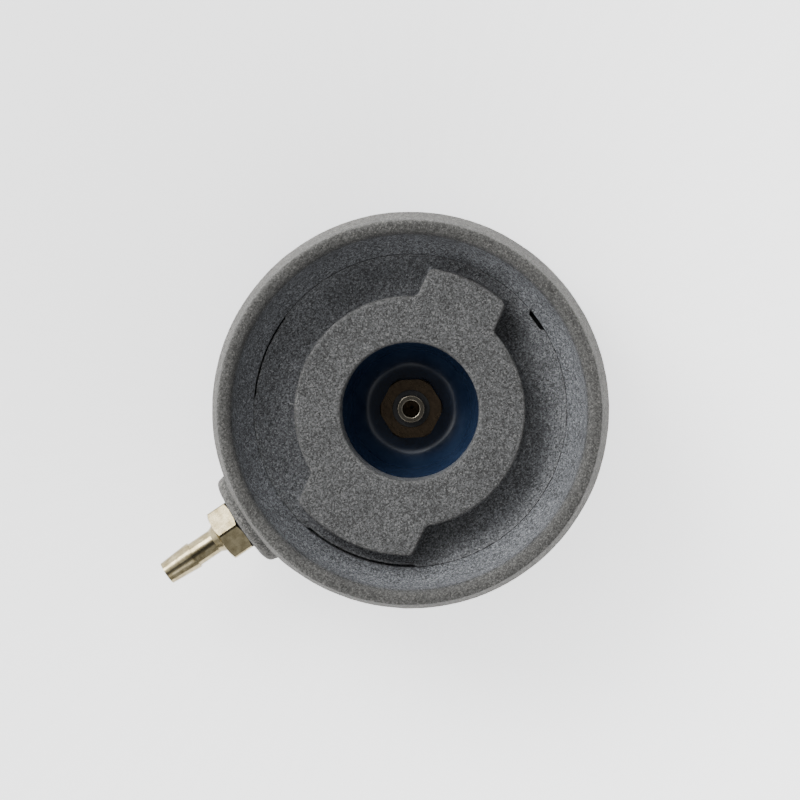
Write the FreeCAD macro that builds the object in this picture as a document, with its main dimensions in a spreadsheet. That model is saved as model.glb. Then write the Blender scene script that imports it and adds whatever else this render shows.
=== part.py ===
import FreeCAD, Part
import math
import os
import re
import Sketcher
from FreeCAD import Placement, Rotation, Vector

# Pond air stone, 5-inch disc type, in millimetres.
#
# Frame: the origin is on the disc's axis in the plane that the foot ring stands on.
# +Z is up along that axis, and the hose barb points along -X.
#
# How it goes together, from the floor up: foot ring, cover plate, cover gasket, glossy base
# shell with its sunken cup, the porous outer ring on two gaskets, and the bayonet ring.  The
# twist core (carrier, two seals, porous stone with two grip wings) drops in and turns to lock.
# A brass gland in the cup floor holds the centre tube, and a brass barb feeds the outer ring.

SIZES = [
    # outer ring of porous stone
    ("ring_radius", 64.4),        # widest radius
    ("rim_height", 56.0),         # top of the rim above the floor: the overall height
    ("lean_height", 18.0),        # below the rim the wall leans in over this height
    ("flare", 3.1),               # how far the wall leans in up to the rim
    ("rim_width", 4.4),
    ("dish_run", 6.1),            # how far the inner wall slopes in, rim to seam
    ("dish_hollow", 1.73),        # how deep the inner wall's hollow curve is
    ("ring_wall", 3.8),           # thickness of the outer wall
    ("ring_foot_wall", 4.5),      # thickness of the outer wall where it stands
    ("rim_roof", 11.0),           # stone left above the air space
    ("plenum_crown", 1.5),        # width of the air space at its top
    ("plenum_set", 0.5),          # air space's inner corner below the seam
    ("rim_round", 0.5),
    ("overshoot", 2.0),           # how far a cutting profile runs past what it cuts
    ("foot_bevel", 0.8),
    # boss and hose barb
    ("boss_radius", 15.8),
    ("boss_stand", 2.4),          # boss face beyond the widest radius
    ("boss_round", 2.0),
    ("barb_height", 26.0),        # axis of the barb above the floor
    ("insert_radius", 8.5),
    ("shank_radius", 6.5),
    ("shank_length", 8.0),
    ("barb_washer_radius", 10.2),
    ("barb_washer_thick", 0.5),
    ("barb_hex_flats", 17.0),
    ("barb_hex_height", 7.9),
    ("barb_root_radius", 5.25),
    ("barb_root_length", 2.5),
    ("barb_neck_radius", 4.1),
    ("barb_neck_length", 8.1),
    ("barb_ridge_radius", 4.6),
    ("barb_ridge_land", 0.6),
    ("barb_tip_radius", 3.85),
    ("barb_tip_length", 10.3),
    ("barb_bore_radius", 2.7),
    ("barb_hex_corner", 9.6),     # radius that the hex's corners are turned to
    ("hex_tilt", 3.0),            # degrees the barb's hex is turned from corner-up
    ("barb_bevel", 0.7),
    ("barb_face_radius", 8.3),     # flat end of the hex, inside its bevel
    # foot, cover plate and base shell
    ("foot_stand", 1.5),
    ("foot_seat", 1.0),
    ("foot_width", 7.0),
    ("foot_set", 4.0),            # foot's outer edge inside the cover's edge
    ("cover_thick", 2.5),
    ("cover_set", 1.6),           # cover's edge inside the flange's edge
    ("cover_gasket_thick", 0.8),
    ("flange_set", 0.6),          # flange's edge inside the widest radius
    ("flange_thick", 3.2),
    ("lower_gasket_thick", 1.0),
    ("lower_gasket_set", 0.4),
    ("lip_set", 0.5),             # shell's bore outside the seam
    ("shell_wall", 3.0),
    ("bond_gap", 0.2),
    ("land_thick", 3.0),
    ("land_port_radius", 2.2),
    ("wall_port_radius", 4.0),
    ("cup_depth", 11.5),
    ("cup_floor_thick", 3.0),
    ("cup_floor_radius", 17.6),
    ("cup_round", 8.0),           # the cup is a bowl: its floor runs into its wall
    ("cup_wall", 1.8),
    ("edge_break", 0.6),
    ("cup_set", 1.0),             # cup's mouth outside the stone's bore
    ("port_count", 6),
    ("port_angle", 30.0),         # degrees from +X to the first port in the land
    # cover screws
    ("screw_inset", 7.3),         # screw circle inside the shell's bore
    ("screw_boss_radius", 4.2),
    ("screw_insert_radius", 2.3),
    ("screw_insert_length", 5.5),
    ("screw_radius", 1.5),
    ("screw_length", 8.0),
    ("screw_head_radius", 2.7),
    ("screw_head_height", 1.3),
    ("screw_socket_radius", 1.2),
    ("screw_socket_depth", 1.1),
    ("screw_clearance", 0.2),
    # bayonet ring and twist core
    ("bayonet_thick", 2.0),
    ("bayonet_reach", 2.7),       # lips inside the shell's bore
    ("lip_sweep", 44.0),          # degrees
    ("tab_sweep", 36.0),          # degrees
    ("tab_thick", 1.9),
    ("tab_gap", 0.6),
    ("lift_gap", 0.3),            # under the lips
    ("twist_gap", 0.4),           # between the carrier and what stands still
    ("seam_gap", 0.2),            # running fit of the core's edge in the ring
    ("upper_gasket_thick", 0.9),
    ("carrier_thick", 5.0),
    ("carrier_set", 1.8),         # carrier's bore outside the stone's bore
    ("channel_depth", 1.8),
    ("carrier_hole_radius", 1.8),
    ("seal_inset", 2.0),
    ("seal_radius", 0.9),
    ("seal_gap", 0.15),
    ("seal_side_gap", 0.15),
    ("seal_wall", 1.0),
    ("core_web", 3.1),            # stone under the foot of the hub
    ("core_edge", 8.8),           # stone at the seam
    ("trough_hollow", 1.49),      # how deep the trough floor's hollow curve is
    ("hub_radius", 37.1),
    ("hub_rise", 13.0),
    ("hub_round", 0.9),
    ("hub_foot_round", 1.4),
    ("bore_radius", 22.2),
    ("chamber_wall", 4.8),        # stone between the chamber and the bore
    ("chamber_outer_wall", 4.1),
    ("chamber_roof", 6.1),
    ("wing_gap", 4.2),            # wing ends inside the core's edge
    ("narrow_wing", 27.1),
    ("wide_wing", 40.7),
    ("wing_corner", 2.2),
    ("wing_root", 2.0),
    ("wing_angle", 31.0),         # degrees from +X to the narrow wing
    ("tab_angle", 90.0),          # degrees from +X to the first tab and lip
    ("notch_drop", 3.0),          # blind notches in the core's edge, from the seam down
    ("east_notch_depth", 1.2),
    ("north_notch_depth", 0.4),
    ("south_notch_depth", 0.6),
    # gland in the cup floor
    ("gland_gasket_thick", 1.0),
    ("gland_flange_thick", 2.0),
    ("gland_flange_radius", 9.3),
    ("gland_stem_radius", 7.6),
    ("gland_tail_radius", 7.0),
    ("gland_nut_flats", 19.0),
    ("gland_nut_corner", 10.3),   # radius that the nut's corners are turned to
    ("gland_nut_height", 5.3),
    ("nut_bevel", 0.3),
    ("nut_face_radius", 9.9),
    ("gland_nut_web", 1.3),
    ("gland_nut_mouth", 6.2),
    ("nut_gap", 0.2),
    ("nut_turn", 28.4),           # degrees from +X to a corner of the nut
    ("gland_seal_height", 4.2),
    ("gland_seal_dip", 0.4),
    ("gland_seal_squeeze", 0.1),
    ("tail_gap", 1.5),
    ("tail_show", 0.9),
    ("lock_nut_height", 4.3),
    ("lock_washer_thick", 0.8),
    ("lock_washer_radius", 10.4),
    ("floor_hole_gap", 0.1),
    ("tube_radius", 4.55),
    ("tube_bore_radius", 2.7),
    ("tube_gap", 0.05),
    ("tube_stand", 3.0),
    ("tube_lift", 0.5),
    ("tube_mouth_round", 0.4),
    ("jet_length", 5.0),
    ("jet_orifice_radius", 0.6),
    ("jet_recess", 1.5),
]

# Sizes and heights that follow from the ones above.
DERIVED = {
    "rim_radius": "ring_radius - flare",
    "rim_inner": "rim_radius - rim_width",
    "seam_radius": "rim_inner - dish_run",
    "widest_height": "rim_height - lean_height",
    "boss_face": "ring_radius + boss_stand",
    "cover_top": "foot_stand + cover_thick",
    "flange_low": "cover_top + cover_gasket_thick",
    "flange_top": "flange_low + flange_thick",
    "flange_radius": "ring_radius - flange_set",
    "cover_radius": "flange_radius - cover_set",
    "foot_outer": "cover_radius - foot_set",
    "foot_inner": "foot_outer - foot_width",
    "ring_low": "flange_top + lower_gasket_thick",
    "shell_bore": "seam_radius + lip_set",
    "shell_outer": "shell_bore + shell_wall",
    "lip_outer": "shell_outer + bond_gap",
    "tail_low": "cover_top + tail_gap",
    "screw_low": "foot_stand + screw_clearance",
    "floor_hole": "gland_tail_radius + floor_hole_gap",
    "lock_nut_low": "tail_low + tail_show",
    "lock_nut_top": "lock_nut_low + lock_nut_height",
    "cup_low": "lock_nut_top + lock_washer_thick",
    "cup_floor": "cup_low + cup_floor_thick",
    "land_top": "cup_floor + cup_depth",
    "land_low": "land_top - land_thick",
    "cup_mouth": "bore_radius + cup_set",
    "port_height": "(flange_top + land_low) / 2",
    "screw_circle": "shell_bore - screw_inset",
    "carrier_low": "land_top + twist_gap",
    "carrier_top": "carrier_low + carrier_thick",
    "bayonet_low": "carrier_low + tab_thick + lift_gap",
    "bayonet_top": "bayonet_low + bayonet_thick",
    "lip_low": "bayonet_top + upper_gasket_thick",
    "bayonet_inner": "shell_bore - bayonet_reach",
    "carrier_radius": "bayonet_inner - twist_gap",
    "carrier_bore": "bore_radius + carrier_set",
    "tab_radius": "shell_bore - tab_gap",
    "inner_seal": "carrier_bore + seal_inset",
    "outer_seal": "carrier_radius - seal_inset",
    "seal_half": "seal_radius + seal_side_gap",
    "seal_height": "land_top + seal_gap + seal_radius",
    "seal_roof": "seal_height + seal_radius",
    "channel_inner": "inner_seal + seal_half + seal_wall",
    "channel_outer": "outer_seal - seal_half - seal_wall",
    "channel_circle": "(channel_inner + channel_outer) / 2",
    "core_low": "carrier_top",
    "core_radius": "seam_radius - seam_gap",
    "core_floor": "core_low + core_web",
    "seam_height": "core_low + core_edge",
    "hub_top": "core_floor + hub_rise",
    "wing_radius": "core_radius - wing_gap",
    "chamber_inner": "bore_radius + chamber_wall",
    "chamber_outer": "hub_radius - chamber_outer_wall",
    "chamber_top": "hub_top - chamber_roof",
    "chamber_circle": "(chamber_inner + chamber_outer) / 2",
    "gland_low": "cup_floor + gland_gasket_thick",
    "gland_shoulder": "gland_low + gland_flange_thick",
    "gland_nut_low": "gland_shoulder + nut_gap",
    "gland_nut_top": "gland_nut_low + gland_nut_height",
    "gland_web_low": "gland_nut_top - gland_nut_web",
    "gland_stem_top": "gland_web_low - nut_gap",
    "gland_seal_top": "gland_nut_top - gland_seal_dip",
    "gland_seal_low": "gland_seal_top - gland_seal_height",
    "gland_seal_radius": "gland_nut_mouth - gland_seal_squeeze",
    "tube_low": "tail_low + tube_lift",
    "tube_top": "gland_nut_top + tube_stand",
    "jet_low": "tube_low + jet_recess",
    "jet_top": "jet_low + jet_length",
    "barb_hex_low": "boss_face + barb_washer_thick",
    "barb_hex_top": "barb_hex_low + barb_hex_height",
    "barb_root_top": "barb_hex_top + barb_root_length",
    "barb_neck_top": "barb_root_top + barb_neck_length",
    "barb_ridge_top": "barb_neck_top + barb_ridge_land",
    "barb_end": "barb_ridge_top + barb_tip_length",
    "shank_low": "barb_hex_low - shank_length",
    "insert_low": "ring_radius - ring_foot_wall - edge_break",
    "plenum_top": "rim_height - rim_roof",
    "plenum_out_top": "rim_radius + flare * rim_roof / lean_height - ring_wall",
    "dish_rise": "rim_height - seam_height",
    "dish_radius": "(dish_run ^ 2 + dish_rise ^ 2) / (8 * dish_hollow) + dish_hollow / 2",
    "trough_run": "core_radius - hub_radius",
    "trough_rise": "core_edge - core_web",
    "trough_radius": "(trough_run ^ 2 + trough_rise ^ 2) / (8 * trough_hollow) + trough_hollow / 2",
}

# Each notch: the degrees from +X to its middle, the degrees it sweeps, and its depth.
NOTCHES = [(1.5, 8.0, "east_notch_depth"), (125.0, 32.0, "north_notch_depth"),
           (216.5, 43.0, "south_notch_depth")]
BAYONET_COUNT = 3
TINY = 1e-4
NEAR = 0.01        # how closely an edge has to lie where it is looked for

doc = FreeCAD.newDocument("air_stone")
sheet = doc.addObject("Spreadsheet::Sheet", "Sizes")
for row, (alias, number) in enumerate(SIZES, start=1):
    sheet.set(f"A{row}", alias)
    sheet.set(f"B{row}", str(number))
    sheet.setAlias(f"B{row}", alias)
doc.recompute()

ALIASES = {alias for alias, number in SIZES}
NUMBERS = dict(SIZES)
sub_parts = []


def bind(text):
    """The formula with each name replaced by its sheet cell, ready for setExpression."""
    def lookup(match):
        word = match.group(0)
        if word in DERIVED:
            return "(" + bind(DERIVED[word]) + ")"
        return "Sizes." + word if word in ALIASES else word
    return re.sub(r"[a-z][a-z_]*", lookup, str(text))


def value(text):
    """What a formula comes to now."""
    return float(probe.evalExpression(bind(text)))


probe = doc.addObject("App::FeaturePython", "formula_reader")


# ---------------------------------------------------------------- bodies, sketches, features

def new_body(name):
    body = doc.addObject("PartDesign::Body", name)
    body.Label = name
    sub_parts.append(body)
    return body


def origin_feature(body, role):
    return next(item for item in body.Origin.OriginFeatures if item.Role == role)


def new_sketch(body, name, role, shift=None):
    """A sketch on one of the body's own origin planes, moved in its own axes by shift."""
    sketch = body.newObject("Sketcher::SketchObject", name)
    sketch.AttachmentSupport = [(origin_feature(body, role), "")]
    sketch.MapMode = "FlatFace"
    for axis, text in (shift or {}).items():
        sketch.setExpression(f"AttachmentOffset.Base.{axis}", bind(text))
    sketch.Visibility = False
    return sketch


def pin_down(sketch, label, kind, item, spot, text):
    """Hold one end point at a formula's distance from the sketch's origin."""
    number = value(text)
    if abs(number) < TINY:
        axis = -2 if kind == "DistanceX" else -1
        sketch.addConstraint(Sketcher.Constraint("PointOnObject", item, spot, axis))
        return
    index = sketch.addConstraint(Sketcher.Constraint(kind, -1, 1, item, spot, number))
    sketch.renameConstraint(index, label)
    sketch.setExpression(f"Constraints.{label}", bind(text))


def bent_edge(start, end, radius, side):
    """An arc from start to end; side +1 has its centre on the left of the way to end."""
    chord = end - start
    middle = (start + end) * 0.5
    left = Vector(-chord.y, chord.x, 0).normalize()
    reach = math.sqrt(radius ** 2 - (chord.Length / 2) ** 2)
    centre = middle + left * reach * side
    angle = [math.atan2(point.y - centre.y, point.x - centre.x) for point in (start, end)]
    if side < 0:
        angle.reverse()
    circle = Part.Circle(centre, Vector(0, 0, 1), radius)
    return Part.ArcOfCircle(circle, angle[0], angle[1])


def outline(sketch, corners):
    """A closed outline.  A corner is (x, y), or (x, y, radius, side) where an arc leads to it."""
    points = [Vector(value(corner[0]), value(corner[1]), 0) for corner in corners]
    count = len(corners)
    ends = []
    for number, corner in enumerate(corners):
        start, end = points[number - 1], points[number]
        if len(corner) == 2:
            item = sketch.addGeometry(Part.LineSegment(start, end), False)
            ends.append((item, 1, 2))
            continue
        item = sketch.addGeometry(bent_edge(start, end, value(corner[2]), corner[3]), False)
        ends.append((item, 1, 2) if corner[3] > 0 else (item, 2, 1))
        index = sketch.addConstraint(Sketcher.Constraint("Radius", item, value(corner[2])))
        sketch.renameConstraint(index, f"bend{number}")
        sketch.setExpression(f"Constraints.bend{number}", bind(corner[2]))
    for number, corner in enumerate(corners):
        item, first, last = ends[number]
        after, after_first, after_last = ends[(number + 1) % count]
        sketch.addConstraint(Sketcher.Constraint("Coincident", item, last, after, after_first))
        pin_down(sketch, f"x{number}", "DistanceX", item, last, corner[0])
        pin_down(sketch, f"y{number}", "DistanceY", item, last, corner[1])
    return sketch


def round_hole(sketch, x_text, y_text, radius_text):
    """A circle at a formula's place."""
    centre = Vector(value(x_text), value(y_text), 0)
    circle = Part.Circle(centre, Vector(0, 0, 1), value(radius_text))
    item = sketch.addGeometry(circle, False)
    index = sketch.addConstraint(Sketcher.Constraint("Radius", item, value(radius_text)))
    sketch.renameConstraint(index, "radius")
    sketch.setExpression("Constraints.radius", bind(radius_text))
    pin_down(sketch, "x", "DistanceX", item, 3, x_text)
    pin_down(sketch, "y", "DistanceY", item, 3, y_text)
    return sketch


def hexagon(sketch, flats_text):
    """A hexagon about the sketch's origin, with a corner on its x axis."""
    corner_text = f"({flats_text}) / sqrt(3)"
    corners = []
    for step in range(6):
        turn = 60 * step
        corners.append((f"{corner_text} * cos({turn})", f"{corner_text} * sin({turn})"))
    return outline(sketch, corners)


def turn(body, sketch, name, cut=False):
    """Revolve a profile about its sketch's vertical axis."""
    kind = "PartDesign::Groove" if cut else "PartDesign::Revolution"
    feature = body.newObject(kind, name)
    feature.Profile = sketch
    feature.ReferenceAxis = (sketch, ["V_Axis"])
    feature.Angle = 360
    return settle(body, feature, cut)


def extrude(body, sketch, name, length, cut=False, back=False):
    """Pad or pocket a sketch by a formula's length."""
    feature = body.newObject("PartDesign::Pocket" if cut else "PartDesign::Pad", name)
    feature.Profile = sketch
    feature.Length = value(length)
    feature.setExpression("Length", bind(length))
    feature.Reversed = back
    return settle(body, feature, cut)


def settle(body, feature, cut=False):
    """Recompute after a feature, and stop if a cut took nothing away."""
    before = feature.BaseFeature.Shape.Volume if feature.BaseFeature else 0.0
    doc.recompute()
    body.Tip = feature
    if cut and feature.Shape.Volume > before - TINY:
        raise RuntimeError(f"{body.Label}: {feature.Label} cuts nothing")
    return feature


def around(body, feature, count, name):
    """Repeat a feature round the body's vertical axis."""
    pattern = body.newObject("PartDesign::PolarPattern", name)
    pattern.Originals = [feature]
    pattern.Axis = (origin_feature(body, "Z_Axis"), [""])
    pattern.Angle = 360
    pattern.Occurrences = count
    body.Tip = pattern
    doc.recompute()
    return pattern


def round_edges(body, feature, name, radius, chosen, kind="PartDesign::Fillet"):
    """Fillet or chamfer the edges that chosen picks."""
    names = [f"Edge{i}" for i, edge in enumerate(feature.Shape.Edges, start=1) if chosen(edge)]
    if not names:
        raise RuntimeError(f"{body.Label}: {name} finds no edge")
    finish = body.newObject(kind, name)
    finish.Base = (feature, names)
    key = "Radius" if kind.endswith("Fillet") else "Size"
    setattr(finish, key, value(radius))
    finish.setExpression(key, bind(radius))
    return settle(body, finish)


def circle_at(*places):
    """Picks the level circles about the vertical axis with a given radius and height."""
    wanted = [(value(radius), value(height)) for radius, height in places]

    def chosen(edge):
        curve = edge.Curve
        if not isinstance(curve, Part.Circle) or math.hypot(curve.Center.x, curve.Center.y) > TINY:
            return False
        return any(abs(curve.Radius - radius) < NEAR and abs(curve.Center.z - height) < NEAR
                   for radius, height in wanted)
    return chosen


def ring_body(name, inner, outer, low, high):
    """A plain flat ring, or a disc where inner is 0."""
    body = new_body(name)
    sketch = new_sketch(body, f"{name}_section", "XZ_Plane")
    outline(sketch, [(inner, low), (outer, low), (outer, high), (inner, high)])
    return body, turn(body, sketch, f"{name}_turning")


def place(body, position, rotation=Rotation()):
    """Give a body a Placement whose position is bound to formulas."""
    body.Placement = Placement(Vector(*[value(text) for text in position]), rotation)
    for axis, text in zip("xyz", position):
        body.setExpression(f"Placement.Base.{axis}", bind(text))


# ------------------------------------------------------------------------------- porous stone

def make_outer_ring():
    body = new_body("outer_ring")
    section = new_sketch(body, "ring_section", "XZ_Plane")
    outline(section, [
        ("seam_radius", "ring_low"),
        ("ring_radius", "ring_low"),
        ("ring_radius", "widest_height"),
        ("rim_radius", "rim_height"),
        ("rim_inner", "rim_height"),
        ("seam_radius", "seam_height", "dish_radius", -1),
    ])
    ring = turn(body, section, "ring_turning")
    boss = new_sketch(body, "boss_circle", "YZ_Plane", {"z": "-(ring_radius - ring_foot_wall)"})
    round_hole(boss, "0", "barb_height", "boss_radius")
    ring = extrude(body, boss, "hose_boss", "ring_foot_wall + boss_stand", back=True)

    def boss_rim(edge):
        curve = edge.Curve
        return (isinstance(curve, Part.Circle) and abs(curve.Radius - value("boss_radius")) < NEAR
                and abs(curve.Center.x + value("boss_face")) < NEAR)
    ring = round_edges(body, ring, "boss_rounding", "boss_round", boss_rim)
    ring = round_edges(body, ring, "rim_rounding", "rim_round",
                       circle_at(("rim_radius", "rim_height"), ("rim_inner", "rim_height")))
    ring = round_edges(body, ring, "foot_chamfer", "foot_bevel",
                       circle_at(("ring_radius", "ring_low")), "PartDesign::Chamfer")
    plenum = new_sketch(body, "plenum_section", "XZ_Plane")
    outline(plenum, [
        ("seam_radius - overshoot", "ring_low - overshoot"),
        ("ring_radius - ring_foot_wall", "ring_low - overshoot"),
        ("ring_radius - ring_foot_wall", "ring_low"),
        ("ring_radius - ring_wall", "widest_height"),
        ("plenum_out_top", "plenum_top"),
        ("plenum_out_top - plenum_crown", "plenum_top"),
        ("lip_outer", "seam_height - plenum_set"),
        ("lip_outer", "lip_low"),
        ("seam_radius - overshoot", "lip_low"),
    ])
    turn(body, plenum, "plenum_groove", cut=True)
    hole = new_sketch(body, "insert_circle", "YZ_Plane", {"z": "-(ring_radius - ring_wall * 2)"})
    round_hole(hole, "0", "barb_height", "insert_radius")
    extrude(body, hole, "insert_hole", "ring_wall * 2 + boss_stand + overshoot", cut=True)


def vertical(edge):
    """Picks straight upright edges."""
    if not isinstance(edge.Curve, Part.Line):
        return False
    return abs(edge.tangentAt(edge.FirstParameter).z) > 1 - TINY


def level_edge(height):
    """Picks every edge that lies in a level plane."""
    wanted = value(height)

    def chosen(edge):
        level = all(abs(point.Z - wanted) < NEAR for point in edge.Vertexes)
        return level and edge.BoundBox.ZMax - edge.BoundBox.ZMin < NEAR
    return chosen


def sector(body, name, inner, outer, middle, sweep, height):
    """A sketch of a piece of a flat ring: radii, and degrees from +X."""
    sketch = new_sketch(body, name, "XY_Plane", {"z": height})
    first = f"({middle} - {sweep} / 2)"
    last = f"({middle} + {sweep} / 2)"
    return outline(sketch, [
        (f"({inner}) * cos({first})", f"({inner}) * sin({first})", inner, -1),
        (f"({outer}) * cos({first})", f"({outer}) * sin({first})"),
        (f"({outer}) * cos({last})", f"({outer}) * sin({last})", outer, 1),
        (f"({inner}) * cos({last})", f"({inner}) * sin({last})"),
    ])


def make_core_stone():
    """Modelled with its narrow wing on +X, then turned to its angle."""
    body = new_body("core_stone")
    section = new_sketch(body, "core_section", "XZ_Plane")
    outline(section, [
        ("bore_radius", "core_low"),
        ("core_radius", "core_low"),
        ("core_radius", "seam_height"),
        ("hub_radius", "core_floor", "trough_radius", -1),
        ("hub_radius", "hub_top"),
        ("bore_radius", "hub_top"),
    ])
    stone = turn(body, section, "core_turning")
    for side, width in ((1, "narrow_wing"), (-1, "wide_wing")):
        wing = new_sketch(body, f"{width}_outline", "XY_Plane", {"z": "core_low"})
        root = f"{side} * (bore_radius + overshoot)"
        end = f"{side} * sqrt(wing_radius ^ 2 - ({width} / 2) ^ 2)"
        outline(wing, [
            (root, f"{-side} * {width} / 2"),
            (end, f"{-side} * {width} / 2"),
            (end, f"{side} * {width} / 2", "wing_radius", 1),
            (root, f"{side} * {width} / 2"),
        ])
        stone = extrude(body, wing, width, "hub_top - core_low")

    def on_trough(edge):
        """Picks the foot of the hub and of the wings, where they meet the trough."""
        reach = [math.hypot(point.X, point.Y) for point in edge.Vertexes]
        level = [point.Z for point in edge.Vertexes]
        beside_hub = min(reach) > value("hub_radius") - NEAR and max(reach) < value("wing_radius") + NEAR
        on_floor = min(level) > value("core_floor") - NEAR and max(level) < value("seam_height")
        return beside_hub and on_floor

    def upright_at(radius):
        def chosen(edge):
            point = edge.CenterOfMass
            return vertical(edge) and abs(math.hypot(point.x, point.y) - value(radius)) < NEAR
        return chosen
    stone = round_edges(body, stone, "wing_corners", "wing_corner", upright_at("wing_radius"))
    stone = round_edges(body, stone, "wing_roots", "wing_root", upright_at("hub_radius"))
    stone = round_edges(body, stone, "hub_rounding", "hub_round", level_edge("hub_top"))
    stone = round_edges(body, stone, "hub_foot_rounding", "hub_foot_round", on_trough)
    chamber = new_sketch(body, "chamber_section", "XZ_Plane")
    outline(chamber, [
        ("chamber_inner", "core_low - overshoot"),
        ("chamber_outer", "core_low - overshoot"),
        ("chamber_outer", "chamber_top"),
        ("chamber_inner", "chamber_top"),
    ])
    turn(body, chamber, "chamber_groove", cut=True)
    for number, (middle, sweep, depth) in enumerate(NOTCHES, start=1):
        notch = sector(body, f"notch_{number}", f"core_radius - {depth}",
                       "core_radius + overshoot", f"({middle} - wing_angle)", sweep,
                       "seam_height + overshoot")
        extrude(body, notch, f"notch_{number}_cut", "notch_drop + overshoot", cut=True)
    turned = Rotation(Vector(0, 0, 1), value("wing_angle"))
    body.Placement = Placement(Vector(), turned)
    body.setExpression("Placement.Rotation.Angle", bind("wing_angle"))


# --------------------------------------------------------------------------- base and its cup

def make_base_shell():
    body = new_body("base_shell")
    section = new_sketch(body, "shell_section", "XZ_Plane")
    outline(section, [
        ("shell_bore", "flange_low"),
        ("flange_radius", "flange_low"),
        ("flange_radius", "flange_top"),
        ("shell_outer", "flange_top"),
        ("shell_outer", "bayonet_low"),
        ("shell_bore", "bayonet_low"),
        ("shell_bore", "land_top"),
        ("cup_mouth", "land_top"),
        ("cup_floor_radius", "cup_floor"),
        ("floor_hole", "cup_floor"),
        ("floor_hole", "cup_low"),
        ("cup_floor_radius + cup_wall", "cup_low"),
        ("cup_mouth + cup_wall", "land_low"),
        ("shell_bore", "land_low"),
    ])
    shell = turn(body, section, "shell_turning")
    shell = round_edges(body, shell, "cup_rounding", "cup_round",
                        circle_at(("cup_floor_radius", "cup_floor")))
    shell = round_edges(body, shell, "flange_rounding", "edge_break",
                        circle_at(("flange_radius", "flange_low"), ("flange_radius", "flange_top"),
                                  ("cup_mouth", "land_top")))
    boss = new_sketch(body, "boss_circle", "XY_Plane", {"z": "cover_top"})
    round_hole(boss, "screw_circle", "0", "screw_boss_radius")
    boss = extrude(body, boss, "screw_boss", "land_low - cover_top + land_thick / 2")
    around(body, boss, NUMBERS["port_count"], "screw_bosses")
    hole = new_sketch(body, "insert_circle", "XY_Plane", {"z": "cover_top"})
    round_hole(hole, "screw_circle", "0", "screw_insert_radius")
    hole = extrude(body, hole, "insert_hole", "screw_insert_length + edge_break", cut=True, back=True)
    around(body, hole, NUMBERS["port_count"], "insert_holes")
    port = new_sketch(body, "land_port_circle", "XY_Plane", {"z": "land_top + overshoot"})
    round_hole(port, "channel_circle * cos(port_angle)", "channel_circle * sin(port_angle)",
               "land_port_radius")
    port = extrude(body, port, "land_port", "land_thick + overshoot * 2", cut=True)
    around(body, port, NUMBERS["port_count"], "land_ports")
    port = new_sketch(body, "wall_port_circle", "YZ_Plane", {"z": "shell_bore - overshoot"})
    round_hole(port, "0", "port_height", "wall_port_radius")
    port = extrude(body, port, "wall_port", "shell_wall + overshoot * 2", cut=True, back=True)
    around(body, port, NUMBERS["port_count"], "wall_ports")


def make_base_cover():
    body, cover = ring_body("base_cover", "0", "cover_radius", "foot_stand", "cover_top")
    cover = round_edges(body, cover, "cover_rounding", "edge_break",
                        circle_at(("cover_radius", "foot_stand")))
    seat = new_sketch(body, "foot_seat_section", "XZ_Plane")
    outline(seat, [
        ("foot_inner", "foot_stand - overshoot"),
        ("foot_outer", "foot_stand - overshoot"),
        ("foot_outer", "foot_stand + foot_seat"),
        ("foot_inner", "foot_stand + foot_seat"),
    ])
    turn(body, seat, "foot_seat_groove", cut=True)
    hole = new_sketch(body, "screw_hole_circle", "XY_Plane", {"z": "cover_top + overshoot"})
    round_hole(hole, "screw_circle", "0", "screw_radius + screw_clearance")
    hole = extrude(body, hole, "screw_hole", "cover_thick + overshoot * 2", cut=True)
    around(body, hole, NUMBERS["port_count"], "screw_holes")
    seat = new_sketch(body, "head_seat_circle", "XY_Plane", {"z": "foot_stand"})
    round_hole(seat, "screw_circle", "0", "screw_head_radius + screw_clearance")
    seat = extrude(body, seat, "head_seat", "screw_head_height + screw_clearance", cut=True, back=True)
    around(body, seat, NUMBERS["port_count"], "head_seats")


def make_cover_fasteners():
    """Six screws as one node, and the six threaded inserts they turn into as another."""
    screws = new_body("cover_screws")
    section = new_sketch(screws, "screw_section", "XZ_Plane", {"x": "screw_circle"})
    outline(section, [
        ("0", "screw_low + screw_socket_depth"),
        ("screw_socket_radius", "screw_low + screw_socket_depth"),
        ("screw_socket_radius", "screw_low"),
        ("screw_head_radius", "screw_low"),
        ("screw_head_radius", "screw_low + screw_head_height"),
        ("screw_radius", "screw_low + screw_head_height"),
        ("screw_radius", "screw_low + screw_length"),
        ("0", "screw_low + screw_length"),
    ])
    around(screws, turn(screws, section, "screw_turning"), NUMBERS["port_count"], "screw_set")
    inserts = new_body("cover_inserts")
    section = new_sketch(inserts, "insert_section", "XZ_Plane", {"x": "screw_circle"})
    outline(section, [
        ("screw_radius", "cover_top"),
        ("screw_insert_radius", "cover_top"),
        ("screw_insert_radius", "cover_top + screw_insert_length"),
        ("screw_radius", "cover_top + screw_insert_length"),
    ])
    around(inserts, turn(inserts, section, "insert_turning"), NUMBERS["port_count"], "insert_set")


def make_gaskets():
    body, foot = ring_body("foot_ring", "foot_inner", "foot_outer", "0", "foot_stand + foot_seat")
    round_edges(body, foot, "foot_rounding", "edge_break",
                circle_at(("foot_inner", "0"), ("foot_outer", "0")))
    ring_body("cover_gasket", "shell_bore", "cover_radius", "cover_top", "flange_low")
    ring_body("ring_gasket_lower", "ring_radius - ring_foot_wall", "flange_radius - lower_gasket_set",
              "flange_top", "ring_low")
    ring_body("ring_gasket_upper", "shell_bore", "shell_outer", "bayonet_top", "lip_low")


# ------------------------------------------------------------------- bayonet ring and carrier

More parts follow.
